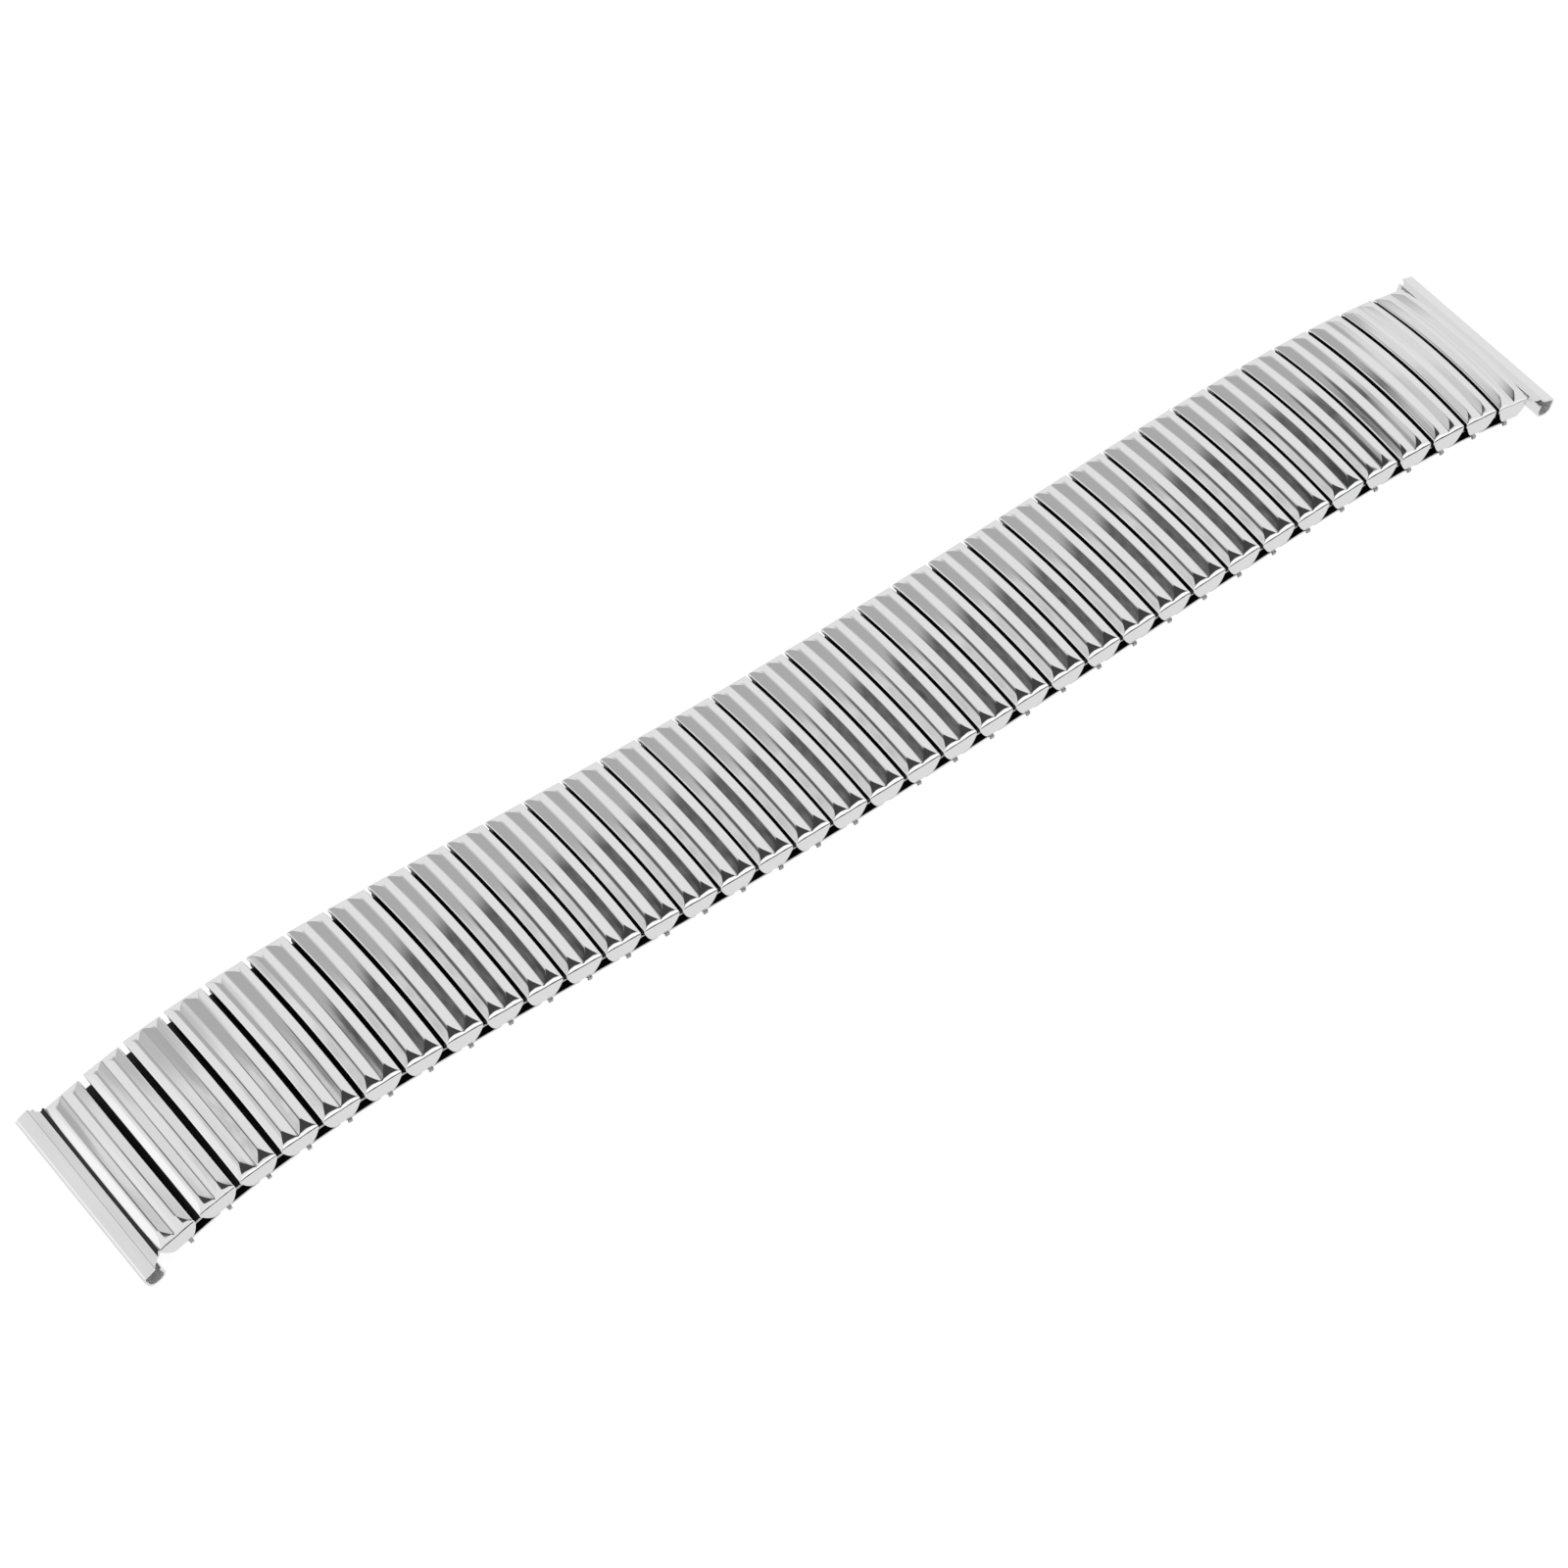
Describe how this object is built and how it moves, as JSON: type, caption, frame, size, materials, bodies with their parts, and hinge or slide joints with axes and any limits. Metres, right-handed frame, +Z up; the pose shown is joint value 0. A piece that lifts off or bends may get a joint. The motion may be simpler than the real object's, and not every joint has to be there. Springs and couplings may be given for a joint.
{
  "type": "expansion watch band",
  "caption": "Stretching steel watch band of two rows of sprung sleeves tied by staples, under ridged polished covers, with a rolled spring-bar lug at each end.",
  "frame": {"origin": "bottom centre of the box around the band as it lies, not stretched", "axes": "+X along the band towards its right lug, +Y across the band, +Z up through the polished covers"},
  "size_m": [0.1594, 0.02, 0.0077],
  "materials": {
    "cover_steel": "polished stainless steel with fine wiping lines",
    "lug_steel": "polished rolled stainless sheet",
    "sleeve_steel": "plain stainless sheet",
    "spring_steel": "rolled spring steel"
  },
  "bodies": {
    "root": {"middle_cover": "cover_steel", "middle_sleeve": "sleeve_steel", "middle_leaf_spring": "spring_steel"},
    "bottom_link_19": {"bottom_link_19": "sleeve_steel"},
    "top_link_20": {"top_link_20": "cover_steel"},
    "top_link_21": {"top_link_21": "cover_steel"},
    "bottom_link_21": {"bottom_link_21": "sleeve_steel"},
    "top_link_22": {"top_link_22": "cover_steel"},
    "top_link_23": {"top_link_23": "cover_steel"},
    "bottom_link_23": {"bottom_link_23": "sleeve_steel"},
    "top_link_24": {"top_link_24": "cover_steel"},
    "top_link_25": {"top_link_25": "cover_steel"},
    "bottom_link_25": {"bottom_link_25": "sleeve_steel"},
    "top_link_26": {"top_link_26": "cover_steel"},
    "top_link_27": {"top_link_27": "cover_steel"},
    "bottom_link_27": {"bottom_link_27": "sleeve_steel"},
    "top_link_28": {"top_link_28": "cover_steel"},
    "top_link_29": {"top_link_29": "cover_steel"},
    "bottom_link_29": {"bottom_link_29": "sleeve_steel"},
    "top_link_30": {"top_link_30": "cover_steel"},
    "top_link_31": {"top_link_31": "cover_steel"},
    "bottom_link_31": {"bottom_link_31": "sleeve_steel"},
    "top_link_32": {"top_link_32": "cover_steel"},
    "top_link_33": {"top_link_33": "cover_steel"},
    "bottom_link_33": {"bottom_link_33": "sleeve_steel"},
    "top_link_34": {"top_link_34": "cover_steel"},
    "top_link_35": {"top_link_35": "cover_steel"},
    "bottom_link_35": {"bottom_link_35": "sleeve_steel"},
    "top_link_36": {"top_link_36": "cover_steel"},
    "top_link_37": {"top_link_37": "cover_steel", "lug_right": "lug_steel"},
    "bottom_link_18": {"bottom_link_18": "sleeve_steel"},
    "top_link_18": {"top_link_18": "cover_steel"},
    "top_link_17": {"top_link_17": "cover_steel"},
    "bottom_link_16": {"bottom_link_16": "sleeve_steel"},
    "top_link_16": {"top_link_16": "cover_steel"},
    "top_link_15": {"top_link_15": "cover_steel"},
    "bottom_link_14": {"bottom_link_14": "sleeve_steel"},
    "top_link_14": {"top_link_14": "cover_steel"},
    "top_link_13": {"top_link_13": "cover_steel"},
    "bottom_link_12": {"bottom_link_12": "sleeve_steel"},
    "top_link_12": {"top_link_12": "cover_steel"},
    "top_link_11": {"top_link_11": "cover_steel"},
    "bottom_link_10": {"bottom_link_10": "sleeve_steel"},
    "top_link_10": {"top_link_10": "cover_steel"},
    "top_link_09": {"top_link_09": "cover_steel"},
    "bottom_link_08": {"bottom_link_08": "sleeve_steel"},
    "top_link_08": {"top_link_08": "cover_steel"},
    "top_link_07": {"top_link_07": "cover_steel"},
    "bottom_link_06": {"bottom_link_06": "sleeve_steel"},
    "top_link_06": {"top_link_06": "cover_steel"},
    "top_link_05": {"top_link_05": "cover_steel"},
    "bottom_link_04": {"bottom_link_04": "sleeve_steel"},
    "top_link_04": {"top_link_04": "cover_steel"},
    "top_link_03": {"top_link_03": "cover_steel"},
    "bottom_link_02": {"bottom_link_02": "sleeve_steel"},
    "top_link_02": {"top_link_02": "cover_steel"},
    "top_link_01": {"top_link_01": "cover_steel", "lug_left": "lug_steel"}
  },
  "joints": [
    {"name": "bend_19", "type": "hinge", "parent": "root", "child": "bottom_link_19", "pos_m": [-0.00011, 0, 0.0017], "axis": [0, 1, 0], "range_deg": [-1.09, 16.41], "stiffness_Nm_per_rad": 0.02},
    {"name": "stretch_19", "type": "slide", "parent": "bottom_link_19", "child": "top_link_20", "axis": [1, 0, 0.0088], "range_m": [0, 0.00175], "stiffness_N_per_m": 4000, "springref_m": -0.0005},
    {"name": "stretch_20", "type": "slide", "parent": "top_link_20", "child": "top_link_21", "axis": [0.9999, 0, 0.0158], "range_m": [0, 0.00175], "stiffness_N_per_m": 4000, "springref_m": -0.0005},
    {"name": "bend_21", "type": "hinge", "parent": "top_link_21", "child": "bottom_link_21", "pos_m": [0.00825, 0, 0.00181], "axis": [0, 1, 0], "range_deg": [-1.11, 16.39], "stiffness_Nm_per_rad": 0.02},
    {"name": "stretch_21", "type": "slide", "parent": "bottom_link_21", "child": "top_link_22", "axis": [0.9997, 0, 0.0227], "range_m": [0, 0.00175], "stiffness_N_per_m": 4000, "springref_m": -0.0005},
    {"name": "stretch_22", "type": "slide", "parent": "top_link_22", "child": "top_link_23", "axis": [0.9996, 0, 0.0292], "range_m": [0, 0.00175], "stiffness_N_per_m": 4000, "springref_m": -0.0005},
    {"name": "bend_23", "type": "hinge", "parent": "top_link_23", "child": "bottom_link_23", "pos_m": [0.01661, 0, 0.00202], "axis": [0, 1, 0], "range_deg": [-1.17, 16.33], "stiffness_Nm_per_rad": 0.02},
    {"name": "stretch_23", "type": "slide", "parent": "bottom_link_23", "child": "top_link_24", "axis": [0.9994, 0, 0.035], "range_m": [0, 0.00175], "stiffness_N_per_m": 4000, "springref_m": -0.0005},
    {"name": "stretch_24", "type": "slide", "parent": "top_link_24", "child": "top_link_25", "axis": [0.9992, 0, 0.0397], "range_m": [0, 0.00175], "stiffness_N_per_m": 4000, "springref_m": -0.0005},
    {"name": "bend_25", "type": "hinge", "parent": "top_link_25", "child": "bottom_link_25", "pos_m": [0.02496, 0, 0.00234], "axis": [0, 1, 0], "range_deg": [-1.31, 16.19], "stiffness_Nm_per_rad": 0.02},
    {"name": "stretch_25", "type": "slide", "parent": "bottom_link_25", "child": "top_link_26", "axis": [0.9991, 0, 0.043], "range_m": [0, 0.00175], "stiffness_N_per_m": 4000, "springref_m": -0.0005},
    {"name": "stretch_26", "type": "slide", "parent": "top_link_26", "child": "top_link_27", "axis": [0.999, 0, 0.0443], "range_m": [0, 0.00175], "stiffness_N_per_m": 4000, "springref_m": -0.0005},
    {"name": "bend_27", "type": "hinge", "parent": "top_link_27", "child": "bottom_link_27", "pos_m": [0.03331, 0, 0.0027], "axis": [0, 1, 0], "range_deg": [-1.58, 15.92], "stiffness_Nm_per_rad": 0.02},
    {"name": "stretch_27", "type": "slide", "parent": "bottom_link_27", "child": "top_link_28", "axis": [0.9991, 0, 0.0429], "range_m": [0, 0.00175], "stiffness_N_per_m": 4000, "springref_m": -0.0005},
    {"name": "stretch_28", "type": "slide", "parent": "top_link_28", "child": "top_link_29", "axis": [0.9993, 0, 0.0381], "range_m": [0, 0.00175], "stiffness_N_per_m": 4000, "springref_m": -0.0005},
    {"name": "bend_29", "type": "hinge", "parent": "top_link_29", "child": "bottom_link_29", "pos_m": [0.04167, 0, 0.00304], "axis": [0, 1, 0], "range_deg": [-2.01, 15.49], "stiffness_Nm_per_rad": 0.02},
    {"name": "stretch_29", "type": "slide", "parent": "bottom_link_29", "child": "top_link_30", "axis": [0.9996, 0, 0.0292], "range_m": [0, 0.00175], "stiffness_N_per_m": 4000, "springref_m": -0.0005},
    {"name": "stretch_30", "type": "slide", "parent": "top_link_30", "child": "top_link_31", "axis": [0.9999, 0, 0.0153], "range_m": [0, 0.00175], "stiffness_N_per_m": 4000, "springref_m": -0.0005},
    {"name": "bend_31", "type": "hinge", "parent": "top_link_31", "child": "bottom_link_31", "pos_m": [0.05003, 0, 0.00322], "axis": [0, 1, 0], "range_deg": [-2.64, 14.86], "stiffness_Nm_per_rad": 0.02},
    {"name": "stretch_31", "type": "slide", "parent": "bottom_link_31", "child": "top_link_32", "axis": [1, 0, -0.0045], "range_m": [0, 0.00175], "stiffness_N_per_m": 4000, "springref_m": -0.0005},
    {"name": "stretch_32", "type": "slide", "parent": "top_link_32", "child": "top_link_33", "axis": [0.9995, 0, -0.0314], "range_m": [0, 0.00175], "stiffness_N_per_m": 4000, "springref_m": -0.0005},
    {"name": "bend_33", "type": "hinge", "parent": "top_link_33", "child": "bottom_link_33", "pos_m": [0.05838, 0, 0.00307], "axis": [0, 1, 0], "range_deg": [-3.5, 14], "stiffness_Nm_per_rad": 0.02},
    {"name": "stretch_33", "type": "slide", "parent": "bottom_link_33", "child": "top_link_34", "axis": [0.9978, 0, -0.0663], "range_m": [0, 0.00175], "stiffness_N_per_m": 4000, "springref_m": -0.0005},
    {"name": "stretch_34", "type": "slide", "parent": "top_link_34", "child": "top_link_35", "axis": [0.9939, 0, -0.1103], "range_m": [0, 0.00175], "stiffness_N_per_m": 4000, "springref_m": -0.0005},
    {"name": "bend_35", "type": "hinge", "parent": "top_link_35", "child": "bottom_link_35", "pos_m": [0.06671, 0, 0.00234], "axis": [0, 1, 0], "range_deg": [-4.64, 12.86], "stiffness_Nm_per_rad": 0.02},
    {"name": "stretch_35", "type": "slide", "parent": "bottom_link_35", "child": "top_link_36", "axis": [0.9864, 0, -0.1646], "range_m": [0, 0.00175], "stiffness_N_per_m": 4000, "springref_m": -0.0005},
    {"name": "stretch_36", "type": "slide", "parent": "top_link_36", "child": "top_link_37", "axis": [0.9732, 0, -0.23], "range_m": [0, 0.00175], "stiffness_N_per_m": 4000, "springref_m": -0.0005},
    {"name": "bend_18", "type": "hinge", "parent": "root", "child": "bottom_link_18", "pos_m": [-0.00011, 0, 0.0017], "axis": [0, -1, 0], "range_deg": [-0.79, 16.71], "stiffness_Nm_per_rad": 0.02},
    {"name": "stretch_18", "type": "slide", "parent": "bottom_link_18", "child": "top_link_18", "axis": [-0.9999, 0, 0.0107], "range_m": [0, 0.00175], "stiffness_N_per_m": 4000, "springref_m": -0.0005},
    {"name": "stretch_17", "type": "slide", "parent": "top_link_18", "child": "top_link_17", "axis": [-0.9997, 0, 0.023], "range_m": [0, 0.00175], "stiffness_N_per_m": 4000, "springref_m": -0.0005},
    {"name": "bend_16", "type": "hinge", "parent": "top_link_17", "child": "bottom_link_16", "pos_m": [-0.00847, 0, 0.00184], "axis": [0, -1, 0], "range_deg": [-0.81, 16.69], "stiffness_Nm_per_rad": 0.02},
    {"name": "stretch_16", "type": "slide", "parent": "bottom_link_16", "child": "top_link_16", "axis": [-0.9994, 0, 0.0351], "range_m": [0, 0.00175], "stiffness_N_per_m": 4000, "springref_m": -0.0005},
    {"name": "stretch_15", "type": "slide", "parent": "top_link_16", "child": "top_link_15", "axis": [-0.9989, 0, 0.0465], "range_m": [0, 0.00175], "stiffness_N_per_m": 4000, "springref_m": -0.0005},
    {"name": "bend_14", "type": "hinge", "parent": "top_link_15", "child": "bottom_link_14", "pos_m": [-0.01682, 0, 0.00218], "axis": [0, -1, 0], "range_deg": [-0.9, 16.6], "stiffness_Nm_per_rad": 0.02},
    {"name": "stretch_14", "type": "slide", "parent": "bottom_link_14", "child": "top_link_14", "axis": [-0.9984, 0, 0.057], "range_m": [0, 0.00175], "stiffness_N_per_m": 4000, "springref_m": -0.0005},
    {"name": "stretch_13", "type": "slide", "parent": "top_link_14", "child": "top_link_13", "axis": [-0.9978, 0, 0.0659], "range_m": [0, 0.00175], "stiffness_N_per_m": 4000, "springref_m": -0.0005},
    {"name": "bend_12", "type": "hinge", "parent": "top_link_13", "child": "bottom_link_12", "pos_m": [-0.02516, 0, 0.0027], "axis": [0, -1, 0], "range_deg": [-1.12, 16.38], "stiffness_Nm_per_rad": 0.02},
    {"name": "stretch_12", "type": "slide", "parent": "bottom_link_12", "child": "top_link_12", "axis": [-0.9974, 0, 0.0725], "range_m": [0, 0.00175], "stiffness_N_per_m": 4000, "springref_m": -0.0005},
    {"name": "stretch_11", "type": "slide", "parent": "top_link_12", "child": "top_link_11", "axis": [-0.9971, 0, 0.0761], "range_m": [0, 0.00175], "stiffness_N_per_m": 4000, "springref_m": -0.0005},
    {"name": "bend_10", "type": "hinge", "parent": "top_link_11", "child": "bottom_link_10", "pos_m": [-0.0335, 0, 0.00332], "axis": [0, -1, 0], "range_deg": [-1.53, 15.97], "stiffness_Nm_per_rad": 0.02},
    {"name": "stretch_10", "type": "slide", "parent": "bottom_link_10", "child": "top_link_10", "axis": [-0.9971, 0, 0.0756], "range_m": [0, 0.00175], "stiffness_N_per_m": 4000, "springref_m": -0.0005},
    {"name": "stretch_09", "type": "slide", "parent": "top_link_10", "child": "top_link_09", "axis": [-0.9975, 0, 0.0701], "range_m": [0, 0.00175], "stiffness_N_per_m": 4000, "springref_m": -0.0005},
    {"name": "bend_08", "type": "hinge", "parent": "top_link_09", "child": "bottom_link_08", "pos_m": [-0.04184, 0, 0.00393], "axis": [0, -1, 0], "range_deg": [-2.18, 15.32], "stiffness_Nm_per_rad": 0.02},
    {"name": "stretch_08", "type": "slide", "parent": "bottom_link_08", "child": "top_link_08", "axis": [-0.9983, 0, 0.0583], "range_m": [0, 0.00175], "stiffness_N_per_m": 4000, "springref_m": -0.0005},
    {"name": "stretch_07", "type": "slide", "parent": "top_link_08", "child": "top_link_07", "axis": [-0.9992, 0, 0.0389], "range_m": [0, 0.00175], "stiffness_N_per_m": 4000, "springref_m": -0.0005},
    {"name": "bend_06", "type": "hinge", "parent": "top_link_07", "child": "bottom_link_06", "pos_m": [-0.05019, 0, 0.00434], "axis": [0, -1, 0], "range_deg": [-3.13, 14.37], "stiffness_Nm_per_rad": 0.02},
    {"name": "stretch_06", "type": "slide", "parent": "bottom_link_06", "child": "top_link_06", "axis": [-0.9999, 0, 0.0105], "range_m": [0, 0.00175], "stiffness_N_per_m": 4000, "springref_m": -0.0005},
    {"name": "stretch_05", "type": "slide", "parent": "top_link_06", "child": "top_link_05", "axis": [-0.9996, 0, -0.0285], "range_m": [0, 0.00175], "stiffness_N_per_m": 4000, "springref_m": -0.0005},
    {"name": "bend_04", "type": "hinge", "parent": "top_link_05", "child": "bottom_link_04", "pos_m": [-0.05855, 0, 0.00426], "axis": [0, -1, 0], "range_deg": [-4.44, 13.06], "stiffness_Nm_per_rad": 0.02},
    {"name": "stretch_04", "type": "slide", "parent": "bottom_link_04", "child": "top_link_04", "axis": [-0.9968, 0, -0.0798], "range_m": [0, 0.00175], "stiffness_N_per_m": 4000, "springref_m": -0.0005},
    {"name": "stretch_03", "type": "slide", "parent": "top_link_04", "child": "top_link_03", "axis": [-0.9895, 0, -0.1448], "range_m": [0, 0.00175], "stiffness_N_per_m": 4000, "springref_m": -0.0005},
    {"name": "bend_02", "type": "hinge", "parent": "top_link_03", "child": "bottom_link_02", "pos_m": [-0.06685, 0, 0.00332], "axis": [0, -1, 0], "range_deg": [-6.17, 11.33], "stiffness_Nm_per_rad": 0.02},
    {"name": "stretch_02", "type": "slide", "parent": "bottom_link_02", "child": "top_link_02", "axis": [-0.9744, 0, -0.2248], "range_m": [0, 0.00175], "stiffness_N_per_m": 4000, "springref_m": -0.0005},
    {"name": "stretch_01", "type": "slide", "parent": "top_link_02", "child": "top_link_01", "axis": [-0.9472, 0, -0.3206], "range_m": [0, 0.00175], "stiffness_N_per_m": 4000, "springref_m": -0.0005}
  ]
}
